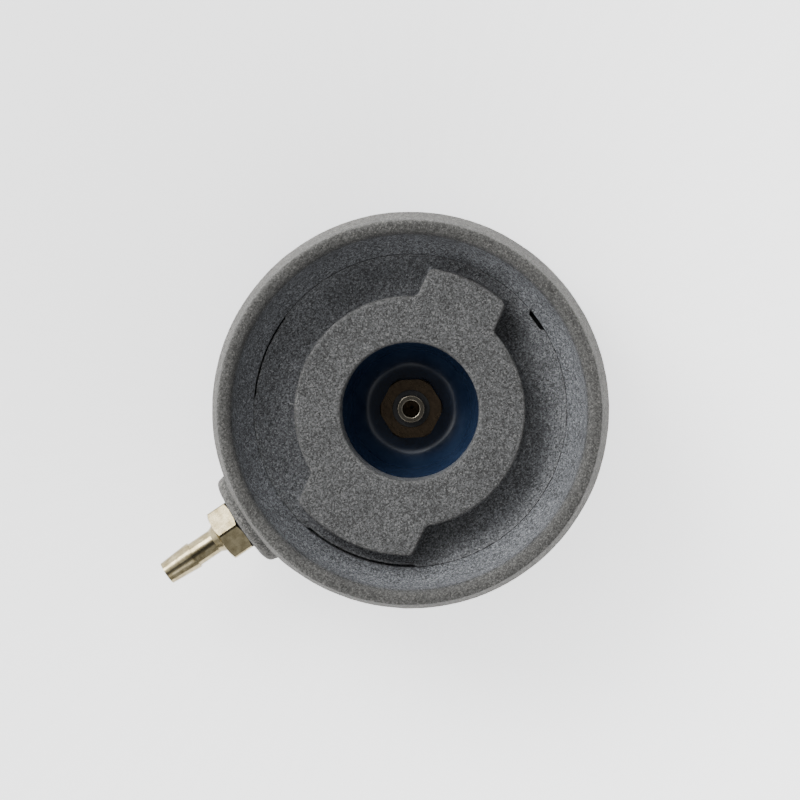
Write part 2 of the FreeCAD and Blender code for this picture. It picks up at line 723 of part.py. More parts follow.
def make_bayonet_ring():
    body, ring = ring_body("bayonet_ring", "shell_bore", "shell_outer", "bayonet_low", "bayonet_top")
    lip = sector(body, "lip_outline", "bayonet_inner", "shell_bore + shell_wall / 2",
                 "tab_angle", "lip_sweep", "bayonet_low")
    lip = extrude(body, lip, "lip", "bayonet_thick")
    around(body, lip, BAYONET_COUNT, "lips")


def make_core_carrier():
    body, carrier = ring_body("core_carrier", "carrier_bore", "carrier_radius",
                              "carrier_low", "carrier_top")
    tab = sector(body, "tab_outline", "carrier_radius - tab_thick", "tab_radius",
                 "tab_angle", "tab_sweep", "carrier_low")
    tab = extrude(body, tab, "tab", "tab_thick")
    around(body, tab, BAYONET_COUNT, "tabs")
    grooves = [
        ("channel", "channel_inner", "channel_outer", "carrier_low + channel_depth"),
        ("inner_seal_seat", "inner_seal - seal_half", "inner_seal + seal_half", "seal_roof"),
        ("outer_seal_seat", "outer_seal - seal_half", "outer_seal + seal_half", "seal_roof"),
    ]
    for name, inner, outer, roof in grooves:
        groove = new_sketch(body, f"{name}_section", "XZ_Plane")
        outline(groove, [
            (inner, "carrier_low - overshoot"),
            (outer, "carrier_low - overshoot"),
            (outer, roof),
            (inner, roof),
        ])
        turn(body, groove, f"{name}_groove", cut=True)
    hole = new_sketch(body, "air_hole_circle", "XY_Plane", {"z": "carrier_top + overshoot"})
    round_hole(hole, "chamber_circle", "0", "carrier_hole_radius")
    hole = extrude(body, hole, "air_hole", "carrier_thick + overshoot * 2", cut=True)
    around(body, hole, NUMBERS["port_count"] * 2, "air_holes")


def make_core_seals():
    for name, radius in (("core_inner_seal", "inner_seal"), ("core_outer_seal", "outer_seal")):
        body = new_body(name)
        section = new_sketch(body, f"{name}_section", "XZ_Plane")
        round_hole(section, radius, "seal_height", "seal_radius")
        turn(body, section, f"{name}_turning")


# ---------------------------------------------------------------------------- gland and tube

def hex_block(body, name, kind, flats, corner, low, high):
    """A hexagonal block, corners turned down and both ends bevelled as its kind, nut or barb."""
    sketch = new_sketch(body, f"{name}_hexagon", "XY_Plane", {"z": low})
    extrude(body, hexagon(sketch, flats), f"{name}_block", f"{high} - {low}")
    face = f"{kind}_face_radius"
    trim = new_sketch(body, f"{name}_corner_section", "XZ_Plane")
    outline(trim, [
        (face, f"{low} - overshoot"),
        (f"{flats}", f"{low} - overshoot"),
        (f"{flats}", f"{high} + overshoot"),
        (face, f"{high} + overshoot"),
        (face, high),
        (corner, f"{high} - {kind}_bevel"),
        (corner, f"{low} + {kind}_bevel"),
        (face, low),
    ])
    return turn(body, trim, f"{name}_corners", cut=True)


def make_gland():
    ring_body("gland_gasket", "floor_hole", "gland_flange_radius", "cup_floor", "gland_low")
    body = new_body("gland_body")
    section = new_sketch(body, "gland_section", "XZ_Plane")
    outline(section, [
        ("tube_radius + tube_gap", "tail_low"),
        ("gland_tail_radius", "tail_low"),
        ("gland_tail_radius", "gland_low"),
        ("gland_flange_radius", "gland_low"),
        ("gland_flange_radius", "gland_shoulder"),
        ("gland_stem_radius", "gland_shoulder"),
        ("gland_stem_radius", "gland_stem_top"),
        ("gland_seal_radius", "gland_stem_top"),
        ("gland_seal_radius", "gland_seal_low"),
        ("tube_radius + tube_gap", "gland_seal_low"),
    ])
    turn(body, section, "gland_turning")
    body = new_body("gland_nut")
    hex_block(body, "gland_nut", "nut", "gland_nut_flats", "gland_nut_corner",
              "gland_nut_low", "gland_nut_top")
    bore = new_sketch(body, "nut_bore_section", "XZ_Plane")
    outline(bore, [
        ("0", "gland_nut_low - overshoot"),
        ("gland_stem_radius", "gland_nut_low - overshoot"),
        ("gland_stem_radius", "gland_web_low"),
        ("gland_nut_mouth", "gland_web_low"),
        ("gland_nut_mouth", "gland_nut_top + overshoot"),
        ("0", "gland_nut_top + overshoot"),
    ])
    turn(body, bore, "nut_bore", cut=True)
    body.Placement = Placement(Vector(), Rotation(Vector(0, 0, 1), value("nut_turn")))
    body.setExpression("Placement.Rotation.Angle", bind("nut_turn"))
    ring_body("gland_seal", "tube_radius", "gland_seal_radius", "gland_seal_low", "gland_seal_top")
    ring_body("lock_washer", "floor_hole", "lock_washer_radius", "lock_nut_top", "cup_low")
    body = new_body("lock_nut")
    hex_block(body, "lock_nut", "nut", "gland_nut_flats", "gland_nut_corner",
              "lock_nut_low", "lock_nut_top")
    bore = new_sketch(body, "lock_nut_bore_circle", "XY_Plane", {"z": "lock_nut_top + overshoot"})
    round_hole(bore, "0", "0", "gland_tail_radius")
    extrude(body, bore, "lock_nut_bore", "lock_nut_height + overshoot * 2", cut=True)


def make_centre_tube():
    body, tube = ring_body("centre_tube", "tube_bore_radius", "tube_radius", "tube_low", "tube_top")
    round_edges(body, tube, "mouth_rounding", "tube_mouth_round",
                circle_at(("tube_bore_radius", "tube_top"), ("tube_radius", "tube_top")))
    ring_body("tube_jet", "jet_orifice_radius", "tube_bore_radius", "jet_low", "jet_top")


# --------------------------------------------------------------------------------- hose barb

def point_outward(body, twist="0"):
    """Turn a fitting made along +Z to lie along -X at the barb's height."""
    outward = Rotation(Vector(0, 0, 1), Vector(-1, 0, 0))
    place(body, ("0", "0", "barb_height"), outward.multiply(Rotation(Vector(0, 0, 1), value(twist))))


def make_hose_barb():
    body, insert = ring_body("barb_insert", "shank_radius", "insert_radius", "insert_low", "boss_face")
    point_outward(body)
    body, washer = ring_body("barb_washer", "shank_radius", "barb_washer_radius",
                             "boss_face", "barb_hex_low")
    point_outward(body)
    body = new_body("side_hose_barb")
    hex_block(body, "barb", "barb", "barb_hex_flats", "barb_hex_corner",
              "barb_hex_low", "barb_hex_top")
    section = new_sketch(body, "barb_section", "XZ_Plane")
    outline(section, [
        ("0", "shank_low"),
        ("shank_radius", "shank_low"),
        ("shank_radius", "barb_hex_low + barb_bevel"),
        ("barb_root_radius", "barb_hex_low + barb_bevel"),
        ("barb_root_radius", "barb_hex_top"),
        ("barb_neck_radius", "barb_root_top"),
        ("barb_neck_radius", "barb_neck_top"),
        ("barb_ridge_radius", "barb_neck_top"),
        ("barb_ridge_radius", "barb_ridge_top"),
        ("barb_tip_radius", "barb_end"),
        ("0", "barb_end"),
    ])
    turn(body, section, "barb_turning")
    bore = new_sketch(body, "barb_bore_circle", "XY_Plane", {"z": "barb_end + overshoot"})
    round_hole(bore, "0", "0", "barb_bore_radius")
    extrude(body, bore, "barb_bore", "barb_end - shank_low + overshoot * 2", cut=True)
    point_outward(body, "hex_tilt")


# ------------------------------------------------------------------------- build and write out

make_outer_ring()
make_core_stone()
make_core_carrier()
make_core_seals()
make_base_shell()
make_base_cover()
make_cover_fasteners()
make_gaskets()
make_bayonet_ring()
make_gland()
make_centre_tube()
make_hose_barb()
doc.recompute()

for item in doc.Objects:
    if "Invalid" in item.State or "Error" in item.State:
        raise RuntimeError(f"{item.Label} failed to build")
os.makedirs("parts", exist_ok=True)
for part in sub_parts:
    if part.Shape.isNull() or not part.Shape.isValid():
        raise RuntimeError(f"{part.Label} has no valid shape")
    part.Shape.exportStep(os.path.join("parts", f"{part.Label}.step"))
    print(f"{part.Label}: {len(part.Shape.Solids)} solids, {part.Shape.Volume:.0f} mm3")
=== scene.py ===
import math

import bpy
import numpy as np
from mathutils import Matrix, Vector


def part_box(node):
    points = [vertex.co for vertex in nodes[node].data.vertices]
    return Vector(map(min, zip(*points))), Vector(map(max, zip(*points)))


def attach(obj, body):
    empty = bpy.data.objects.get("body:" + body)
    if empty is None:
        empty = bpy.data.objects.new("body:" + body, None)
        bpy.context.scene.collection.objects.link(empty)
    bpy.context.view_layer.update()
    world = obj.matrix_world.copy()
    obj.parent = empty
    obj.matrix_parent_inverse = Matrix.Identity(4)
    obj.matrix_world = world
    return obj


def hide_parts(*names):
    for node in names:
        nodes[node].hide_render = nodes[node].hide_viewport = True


# Looks of a 5-inch pond air stone.  Metres; +Z is up along the disc's axis, the barb is at -X.

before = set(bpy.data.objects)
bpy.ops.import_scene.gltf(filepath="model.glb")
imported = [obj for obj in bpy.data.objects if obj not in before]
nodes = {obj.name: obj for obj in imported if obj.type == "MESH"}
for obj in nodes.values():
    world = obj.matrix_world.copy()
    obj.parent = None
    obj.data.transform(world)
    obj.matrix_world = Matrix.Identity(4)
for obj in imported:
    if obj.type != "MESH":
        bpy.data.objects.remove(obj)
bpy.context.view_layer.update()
MM = 0.001
SAME_POINT = 1e-9        # metres: points nearer than this are one

# ------------------------------------------------------------------ sizes read from the frame

ring_low, ring_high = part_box("outer_ring")
washer_low, washer_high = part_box("barb_washer")

ROUGH_REACH = 0.17 * MM         # the stone's roughness stays inside the design's faces
RING_RADIUS = ring_high.y - ROUGH_REACH
RIM_TOP = ring_high.z - ROUGH_REACH
RING_FOOT = ring_low.z
BOSS_FACE = -ring_low.x - ROUGH_REACH
CORE_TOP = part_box("core_stone")[1].z
BARB_HEIGHT = (washer_low.z + washer_high.z) / 2

# ------------------------------------------- sizes of the ring's section, as the design has them

FLARE = 3.1 * MM
RIM_WIDTH = 4.4 * MM
DISH_RUN = 6.1 * MM
DISH_HOLLOW = 1.73 * MM          # how far the inner wall is hollowed between rim and seam
WIDEST_HEIGHT = 38.0 * MM
RING_WALL = 3.8 * MM
RING_FOOT_WALL = 4.5 * MM
LIP_FOOT = 31.5 * MM             # underside of the lip inside the ring
SEAM_HEIGHT = 40.2 * MM
LIP_OUTER = 54.5 * MM            # where that lip meets the air space
RIM_ROOF = 11.0 * MM             # stone left above the air space
PLENUM_TOP = RIM_TOP - RIM_ROOF
PLENUM_CROWN = 1.5 * MM
RIM_RADIUS = RING_RADIUS - FLARE
RIM_INNER = RIM_RADIUS - RIM_WIDTH
SEAM_RADIUS = ring_high.y - FLARE - RIM_WIDTH - DISH_RUN
RUNNING_FIT = 0.2 * MM           # round the core, in the design
CORE_RADIUS = SEAM_RADIUS - RUNNING_FIT
CORE_EDGE_SLOPE = 1.03           # how steeply the trough climbs where it meets the seam
SEAM_GAP = 0.03 * MM             # what is left of the running fit between the rough stones
RIM_INNER_ROUND = 3.2 * MM       # the rim is worn over into the inner wall
NOTCHES = [(1.5, 8.0), (125.0, 32.0), (216.5, 43.0)]    # degrees from +X: middle and sweep
BOSS_RADIUS = 15.8 * MM
BOSS_ROUND = 2.0 * MM
RING_STEPS = 640                 # round the ring
SECTION_STEP = 0.62 * MM         # along its section
DISH_POINTS = 36                 # along the inner wall's hollow
RIM_POINTS = 5                   # how many of those the rim's rounding takes the place of
CORE_VOXEL = 0.46 * MM           # grid that the core is remeshed on


# ------------------------------------------------------------------------- noise, in numpy

def hashed(cells, seed):
    """A repeatable number from 0 to 1 for each whole-number cell."""
    x, y, z = (cells[:, axis].astype(np.int64) for axis in range(3))
    mixed = (x * 73856093) ^ (y * 19349663) ^ (z * 83492791) ^ (seed * 2654435761)
    mixed = (mixed ^ (mixed >> 13)) * 1274126177 & 0x7FFFFFFF
    mixed = (mixed ^ (mixed >> 16)) * 974634741 & 0x7FFFFFFF
    return (mixed & 0xFFFFFF) / float(0xFFFFFF)


def smooth_noise(points, size, seed):
    """Lattice noise from -1 to 1, with features about `size` across."""
    grid = points / size
    low = np.floor(grid)
    part = grid - low
    part = part * part * (3 - 2 * part)
    total = np.zeros(len(points))
    for corner in np.ndindex(2, 2, 2):
        step = np.array(corner)
        weight = np.prod(np.where(step, part, 1 - part), axis=1)
        total += weight * hashed(low + step, seed)
    return total * 2 - 1


def pits(points, size, share, seed):
    """Depth from 0 to 1 of round pits scattered about `size` apart, in a share of the cells."""
    grid = points / size
    low = np.floor(grid)
    depth = np.zeros(len(points))
    for corner in np.ndindex(3, 3, 3):
        cell = low + np.array(corner) - 1
        centre = cell + np.stack([hashed(cell, seed + axis) for axis in range(3)], axis=1)
        radius = 0.22 + 0.3 * hashed(cell, seed + 5)
        there = hashed(cell, seed + 7) < share
        reach = np.linalg.norm(grid - centre, axis=1) / radius
        bowl = np.clip(1 - reach * reach, 0, 1)
        depth = np.maximum(depth, np.where(there, bowl, 0))
    return depth


# ----------------------------------------------------------------------------- mesh building

SWELL_SIZE = 9 * MM              # the stone's surface, from its long waves to its pores
RIPPLE_SIZE = 3.1 * MM
LUMP_SIZE = 0.9 * MM
LUMP_CELL = 0.5 * MM
PIT_SIZE = 1.8 * MM
PIT_SHARE = 0.12
SMOOTH_BY_SEAM = 0.8 * MM        # the roughness fades out this near the seam
PROUD_REACH = 0.25 * MM          # how far a vertex stands out to count as fully proud
PROUD_ROUNDS = 6


def new_piece(name, verts, faces):
    """A shaded-smooth mesh object from arrays."""
    mesh = bpy.data.meshes.new(name)
    mesh.from_pydata([tuple(v) for v in verts], [], [tuple(f) for f in faces])
    mesh.validate()
    mesh.update()
    piece = bpy.data.objects.new(name, mesh)
    bpy.context.scene.collection.objects.link(piece)
    shade_smooth(piece)
    return piece


def shade_smooth(piece):
    mesh = piece.data
    mesh.polygons.foreach_set("use_smooth", np.ones(len(mesh.polygons), dtype=bool))
    mesh.update()


def coordinates(mesh):
    flat = np.empty(len(mesh.vertices) * 3)
    mesh.vertices.foreach_get("co", flat)
    return flat.reshape(-1, 3)


def set_coordinates(mesh, points):
    mesh.vertices.foreach_set("co", points.ravel())
    mesh.update()


def vertex_normals(mesh):
    flat = np.empty(len(mesh.vertices) * 3, dtype=np.float32)
    mesh.vertex_normals.foreach_get("vector", flat)
    return flat.reshape(-1, 3).astype(float)


def edge_pairs(mesh):
    flat = np.empty(len(mesh.edges) * 2, dtype=np.int64)
    mesh.edges.foreach_get("vertices", flat)
    return flat.reshape(-1, 2)


def neighbour_mean(values, pairs, count):
    """The mean of each vertex's neighbours."""
    total = np.zeros((count, values.shape[1]))
    number = np.zeros(count)
    for a, b in ((0, 1), (1, 0)):
        for axis in range(values.shape[1]):
            total[:, axis] += np.bincount(pairs[:, a], values[pairs[:, b], axis], count)
        number += np.bincount(pairs[:, a], minlength=count)
    return total / np.maximum(number, 1)[:, None]


def relax(mesh, rounds, share=0.5):
    """Even out a mesh, which also wears its sharp edges round."""
    pairs = edge_pairs(mesh)
    points = coordinates(mesh)
    for turn in range(rounds):
        mean = neighbour_mean(points, pairs, len(points))
        points = points + (mean - points) * share
    set_coordinates(mesh, points)


def mark_edges(mesh):
    """Store how proud (above 0) or sunken (below 0) each vertex lies, for the material."""
    pairs = edge_pairs(mesh)
    points = coordinates(mesh)
    normals = vertex_normals(mesh)
    mean = points.copy()
    for turn in range(PROUD_ROUNDS):
        mean = neighbour_mean(mean, pairs, len(points))
    proud = np.einsum("ij,ij->i", points - mean, normals) / PROUD_REACH
    mark = mesh.attributes.new("proud", "FLOAT", "POINT")
    mark.data.foreach_set("value", np.clip(proud, -1, 1).astype(np.float32))


def roughen(mesh, swell, grain, pit_depth, seed):
    """Give a stone its uneven, grainy, pitted surface."""
    points = coordinates(mesh)
    normals = vertex_normals(mesh)
    lift = smooth_noise(points, SWELL_SIZE, seed) * swell
    lift += smooth_noise(points, RIPPLE_SIZE, seed + 11) * swell * 0.6
    lift += smooth_noise(points, LUMP_SIZE, seed + 23) * grain
    lift += (hashed(np.floor(points / LUMP_CELL), seed + 31) - 0.5) * grain
    lift -= pits(points, PIT_SIZE, PIT_SHARE, seed + 41) * pit_depth
    from_seam = np.abs(np.hypot(points[:, 0], points[:, 1]) - CORE_RADIUS)
    lift *= np.clip(from_seam / SMOOTH_BY_SEAM, 0, 1)
    set_coordinates(mesh, points + normals * lift[:, None])


def arc_points(start, end, hollow, count):
    """Points from start to end along a shallow arc that bulges by `hollow` to its right."""
    start, end = np.array(start), np.array(end)
    way = end - start
    right = np.array([way[1], -way[0]]) / np.linalg.norm(way)
    steps = np.linspace(0, 1, count)
    return [start + way * t + right * hollow * 4 * t * (1 - t) for t in steps]


def dense_outline(corners, step):
    """A closed outline with extra points; a corner is (point, rounding)."""
    count = len(corners)
    path = []
    for number, (corner, rounding) in enumerate(corners):
        corner = np.array(corner)
        before = np.array(corners[number - 1][0])
        after = np.array(corners[(number + 1) % count][0])
        if rounding <= 0:
            path.append([corner])
            continue
        to_before = (before - corner) / np.linalg.norm(before - corner)
        to_after = (after - corner) / np.linalg.norm(after - corner)
        half = math.acos(np.clip(np.dot(to_before, to_after), -1, 1)) / 2
        back = rounding / math.tan(half)
        first, last = corner + to_before * back, corner + to_after * back
        bends = max(3, int((math.pi - 2 * half) * rounding / step) + 2)
        curve = []
        for t in np.linspace(0, 1, bends):
            pull = first * (1 - t) ** 2 + corner * 2 * t * (1 - t) + last * t ** 2
            curve.append(pull)
        path.append(curve)
    dense = []
    for number, stretch in enumerate(path):
        dense.extend(stretch)
        start, end = stretch[-1], path[(number + 1) % count][0]
        parts = int(np.linalg.norm(end - start) / step)
        dense.extend(start + (end - start) * (k / parts) for k in range(1, parts))
    return dense


def lathe(name, section, steps):
    """Turn a closed section, a list of (radius, height), round the Z axis."""
    section = np.array(section)
    angle = np.linspace(0, 2 * math.pi, steps, endpoint=False)
    rows = len(section)
    verts = np.empty((steps, rows, 3))
    verts[:, :, 0] = np.cos(angle)[:, None] * section[None, :, 0]
    verts[:, :, 1] = np.sin(angle)[:, None] * section[None, :, 0]
    verts[:, :, 2] = section[None, :, 1]
    index = np.arange(steps * rows).reshape(steps, rows)
    ahead = np.roll(index, -1, axis=0)
    faces = np.stack([index, ahead, np.roll(ahead, -1, axis=1), np.roll(index, -1, axis=1)],
                     axis=-1).reshape(-1, 4)
    return new_piece(name, verts.reshape(-1, 3), faces)


# ----------------------------------------------------------------------------- node materials


class Shader:
    """A material's node tree, with short calls for the nodes that the looks here need."""

    def __init__(self, name):
        self.material = bpy.data.materials.new(name)
        self.material.use_nodes = True
        self.tree = self.material.node_tree
        self.surface = self.tree.nodes["Principled BSDF"]
        self.place = self.add("ShaderNodeTexCoord").outputs["Object"]

    def add(self, kind, **settings):
        made = self.tree.nodes.new(kind)
        for key, value in settings.items():
            setattr(made, key, value)
        return made

    def feed(self, socket, value):
        """Link an output, or set a plain value."""
        if isinstance(value, bpy.types.NodeSocket):
            self.tree.links.new(value, socket)
        else:
            socket.default_value = value

    def noise(self, size, detail=3.0, roughness=0.55, place=None):
        made = self.add("ShaderNodeTexNoise")
        self.feed(made.inputs["Vector"], place or self.place)
        made.inputs["Scale"].default_value = 1 / size
        made.inputs["Detail"].default_value = detail
        made.inputs["Roughness"].default_value = roughness
        return made.outputs["Fac"]

    def cells(self, size, output="Color"):
        made = self.add("ShaderNodeTexVoronoi")
        self.feed(made.inputs["Vector"], self.place)
        made.inputs["Scale"].default_value = 1 / size
        return made.outputs[output]

    def one(self, colour, channel=0):
        made = self.add("ShaderNodeSeparateColor")
        self.feed(made.inputs[0], colour)
        return made.outputs[channel]

    def maths(self, operation, a, b):
        made = self.add("ShaderNodeMath", operation=operation)
        for socket, value in zip(made.inputs, (a, b)):
            self.feed(socket, value)
        return made.outputs[0]

    def spread(self, value, low, high, out_low=0.0, out_high=1.0, kind="LINEAR"):
        made = self.add("ShaderNodeMapRange", interpolation_type=kind)
        made.clamp = True
        for socket, number in zip(made.inputs, (value, low, high, out_low, out_high)):
            self.feed(socket, number)
        return made.outputs[0]

    def ramp(self, value, stops):
        made = self.add("ShaderNodeValToRGB")
        points = made.color_ramp.elements
        while len(points) < len(stops):
            points.new(0.5)
        for point, (place, colour) in zip(points, stops):
            point.position = place
            point.color = (*colour, 1.0)
        self.feed(made.inputs[0], value)
        return made.outputs[0]

    def mix(self, share, a, b, blend="MIX"):
        made = self.add("ShaderNodeMix", data_type="RGBA", blend_type=blend)
        self.feed(made.inputs["Factor"], share)
        for socket, value in ((made.inputs[6], a), (made.inputs[7], b)):
            self.feed(socket, (*value, 1.0) if isinstance(value, tuple) else value)
        return made.outputs[2]

    def along(self, axis):
        """Distance from the origin along X, Y or Z."""
        made = self.add("ShaderNodeSeparateXYZ")
        self.feed(made.inputs[0], self.place)
        return made.outputs[axis]

    def radius(self):
        """Distance from the disc's axis."""
        flat = self.add("ShaderNodeVectorMath", operation="MULTIPLY")
        self.feed(flat.inputs[0], self.place)
        flat.inputs[1].default_value = (1, 1, 0)
        made = self.add("ShaderNodeVectorMath", operation="LENGTH")
        self.feed(made.inputs[0], flat.outputs[0])
        return made.outputs["Value"]

    def attribute(self, name):
        made = self.add("ShaderNodeAttribute", attribute_name=name)
        return made.outputs["Fac"]

    def bump(self, height, distance, strength=1.0):
        made = self.add("ShaderNodeBump")
        made.inputs["Strength"].default_value = strength
        made.inputs["Distance"].default_value = distance
        self.feed(made.inputs["Height"], height)
        return made.outputs[0]

    def set(self, **sockets):
        for name, value in sockets.items():
            socket = self.surface.inputs[name.replace("_", " ")]
            if isinstance(value, tuple):
                value = (*value, 1.0)
            self.feed(socket, value)
        return self.material


def grey(level, warmth=0.0):
    """A grey that leans to brown as warmth goes above 0, and to blue below."""
    return (level * (1 + warmth), level * (1 + warmth * 0.35), level * (1 - warmth))


COARSE_GRAIN = 0.42 * MM
FINE_GRAIN = 0.26 * MM
SPECK_SIZE = 0.62 * MM
TINT_FADE = 5.0 * MM                # the painted fill light of the lower faces gives way to the top faces' tint over this height
OUTER_WALL_TINT = grey(1.28, 0.045)
NOTCH_PAINTED_SHADE = grey(0.006)            # painted shade, near black, down in the east notch, the deepest


def stone_material(name, level, tint_low, tint_high, top):
    """Sintered mineral: fine dark and pale grains and pores, wear with a painted highlight on the
    proud edges, painted shade in the hollows and in the east notch, and painted fill light on the
    lower faces.
    """
    s = Shader(name)
    coarse = s.one(s.cells(COARSE_GRAIN), 0)
    fine = s.one(s.cells(FINE_GRAIN), 1)
    mixed = s.maths("ADD", s.maths("MULTIPLY", coarse, 0.6), s.maths("MULTIPLY", fine, 0.4))
    grain = s.ramp(mixed, [
        (0.00, grey(0.020 * level)),
        (0.22, grey(0.044 * level, 0.02)),
        (0.42, grey(0.080 * level, 0.02)),
        (0.62, grey(0.116 * level, -0.01)),
        (0.82, grey(0.168 * level, 0.01)),
        (1.00, grey(0.280 * level, 0.03)),
    ])
    speck = s.one(s.cells(SPECK_SIZE), 2)
    grain = s.mix(s.spread(speck, 0.965, 0.985, 0.0, 0.5), grain, grey(0.23 * level, 0.02))
    grain = s.mix(s.spread(speck, 0.05, 0.03, 0.0, 0.6), grain, grey(0.030 * level, 0.05))
    patch = s.spread(s.noise(14 * MM, 4), 0.35, 0.65, 0.90, 1.10)
    tone = s.add("ShaderNodeCombineColor")
    for socket in tone.inputs[:3]:
        s.feed(socket, patch)
    colour = s.mix(1.0, grain, tone.outputs[0], "MULTIPLY")
    # Painted fill light: below its top faces the stone is painted lighter and bluer, standing in for
    # light in the trough.
    climb = s.spread(s.along("Z"), top - TINT_FADE, top - 0.3 * MM, kind="SMOOTHSTEP")
    tint = s.mix(climb, tint_low, tint_high)
    tint = s.mix(s.spread(s.radius(), RIM_RADIUS - MM, RIM_RADIUS + MM), tint, OUTER_WALL_TINT)
    colour = s.mix(1.0, colour, tint, "MULTIPLY")
    proud = s.attribute("proud")
    # Proud edges painted lighter: wear, and a painted highlight.
    colour = s.mix(s.spread(proud, 0.15, 0.8, 0.0, 0.16), colour, grey(0.22 * level, 0.03))
    # Sunken places painted darker: painted shade in the hollows.
    colour = s.mix(s.spread(proud, -0.15, -0.8, 0.0, 0.40), colour, grey(0.022 * level, -0.05))
    # Painted shade: the inside of the east notch, below the trough's surface, is painted near black.
    inward = s.maths("MULTIPLY", s.maths("SUBTRACT", CORE_RADIUS, s.radius()), CORE_EDGE_SLOPE)
    depth = s.maths("SUBTRACT", s.maths("SUBTRACT", SEAM_HEIGHT, inward), s.along("Z"))
    by_seam = s.spread(s.radius(), SEAM_RADIUS + 0.3 * MM, SEAM_RADIUS + 0.8 * MM, 1.0, 0.0)
    by_slit = s.spread(s.along("X"), CORE_RADIUS * 0.8, CORE_RADIUS * 0.9)
    below = s.spread(depth, 0.35 * MM, 0.8 * MM)
    notch_shade = s.maths("MULTIPLY", below, s.maths("MULTIPLY", by_seam, by_slit))
    colour = s.mix(notch_shade, colour, NOTCH_PAINTED_SHADE)
    relief = s.maths("ADD", s.maths("MULTIPLY", s.cells(COARSE_GRAIN, "Distance"), -0.8),
                     s.maths("MULTIPLY", s.noise(0.24 * MM, 2), 0.7))
    return s.set(Base_Color=colour, Roughness=s.spread(fine, 0, 1, 0.74, 0.95),
                 Normal=s.bump(relief, 0.12 * MM, 0.7), Specular_IOR_Level=0.22)


DUST_SPACING = 1.1 * MM


def blue_plastic_material():
    """Glossy dark blue moulding with faint flow marks, settled dust and handling haze."""
    s = Shader("blue_gloss_plastic")
    haze = s.noise(7 * MM, 5, 0.6)
    colour = s.mix(s.spread(haze, 0.3, 0.7), (0.014, 0.027, 0.062), (0.024, 0.042, 0.086))
    dust = s.spread(s.one(s.cells(DUST_SPACING), 1), 0.965, 0.985)
    near = s.spread(s.cells(DUST_SPACING, "Distance"), 0.14, 0.08)
    colour = s.mix(s.maths("MULTIPLY", s.maths("MULTIPLY", dust, near), 0.5), colour, grey(0.16, 0.02))
    rough = s.spread(haze, 0.25, 0.75, 0.14, 0.26)
    relief = s.noise(4.5 * MM, 2)
    return s.set(Base_Color=colour, Roughness=rough, Normal=s.bump(relief, 0.05 * MM, 0.25),
                 Coat_Weight=0.4, Coat_Roughness=0.10, Specular_IOR_Level=0.5)


def black_plastic_material():
    """Matt black moulding with a fine spark texture."""
    s = Shader("black_matt_plastic")
    tooth = s.noise(0.35 * MM, 3)
    colour = s.mix(s.spread(tooth, 0.35, 0.7), (0.012, 0.012, 0.013), (0.022, 0.022, 0.024))
    return s.set(Base_Color=colour, Roughness=s.spread(tooth, 0.3, 0.7, 0.55, 0.75),
                 Normal=s.bump(tooth, 0.03 * MM, 0.5))


def rubber_material():
    """Black rubber with a fine satin tooth and grey bloom."""
    s = Shader("black_satin_rubber")
    bloom = s.noise(5 * MM, 5, 0.65)
    colour = s.mix(s.spread(bloom, 0.4, 0.75), (0.010, 0.010, 0.011), (0.028, 0.028, 0.029))
    return s.set(Base_Color=colour, Roughness=s.spread(bloom, 0.2, 0.8, 0.42, 0.68),
                 Normal=s.bump(s.noise(0.4 * MM, 3), 0.03 * MM, 0.5))


TOOL_MARKS = 0.35 * MM


def metal_material(name, clean, dull, rough_low, rough_high):
    """Plated or turned metal with tool marks, tarnish and rubbed bright places."""
    s = Shader(name)
    tarnish = s.noise(2.6 * MM, 6, 0.62)
    spots = s.noise(0.8 * MM, 3)
    colour = s.mix(s.spread(tarnish, 0.36, 0.66), clean, dull)
    colour = s.mix(s.spread(spots, 0.66, 0.8, 0.0, 0.5), colour, tuple(c * 0.4 for c in dull))
    stretch = s.add("ShaderNodeVectorMath", operation="MULTIPLY")
    s.feed(stretch.inputs[0], s.place)
    stretch.inputs[1].default_value = (1.0, 0.12, 1.0)
    marks = s.noise(TOOL_MARKS, 2, 0.5, stretch.outputs[0])
    rough = s.maths("ADD", s.spread(tarnish, 0.3, 0.7, rough_low, rough_high),
                    s.spread(marks, 0.3, 0.7, -0.03, 0.05))
    return s.set(Base_Color=colour, Metallic=1.0, Roughness=rough,
                 Normal=s.bump(marks, 0.02 * MM, 0.35))


FLOOR_GLOW = 1.9


def floor_material():
    """A light table: pale and lit from below, which also lights the object's outer wall."""
    s = Shader("pale_floor")
    cloud = s.noise(0.35, 3)
    colour = s.mix(s.spread(cloud, 0.3, 0.7), (0.93, 0.93, 0.925), (0.90, 0.90, 0.90))
    return s.set(Base_Color=colour, Roughness=0.75, Specular_IOR_Level=0.1,
                 Emission_Color=(1.0, 1.0, 1.0), Emission_Strength=FLOOR_GLOW)


# ------------------------------------------------------------------------------- the stones

STONE_LEVEL = 0.84               # how light both stones are
STONE_SWELL = 0.06 * MM
STONE_GRAIN = 0.04 * MM
BOSS_BAND = 6.0 * MM             # mesh rows this near the boss's edge are drawn in to it
BOSS_BLEND = 1.1 * MM            # how softly the boss runs into the wall
BOSS_FALL = 4                    # how steeply its face falls away past its edge
FOOT_KEEP = 2 * MM               # rows this near the ring's foot are moved less
WALL_SKIN = 0.05 * MM            # only rows this near the outer wall are moved
SEAM_EDGE_WIDTH = 0.7 * MM       # what the remesh rounds off the core's top edge
SEAM_EDGE_DEPTH = 1.2 * MM
NOTCH_MARGIN = 0.7               # degrees left as they are beside a notch


def smooth_max(a, b, soft):
    share = np.clip(0.5 + 0.5 * (a - b) / soft, 0, 1)
    return b + (a - b) * share + soft * share * (1 - share)


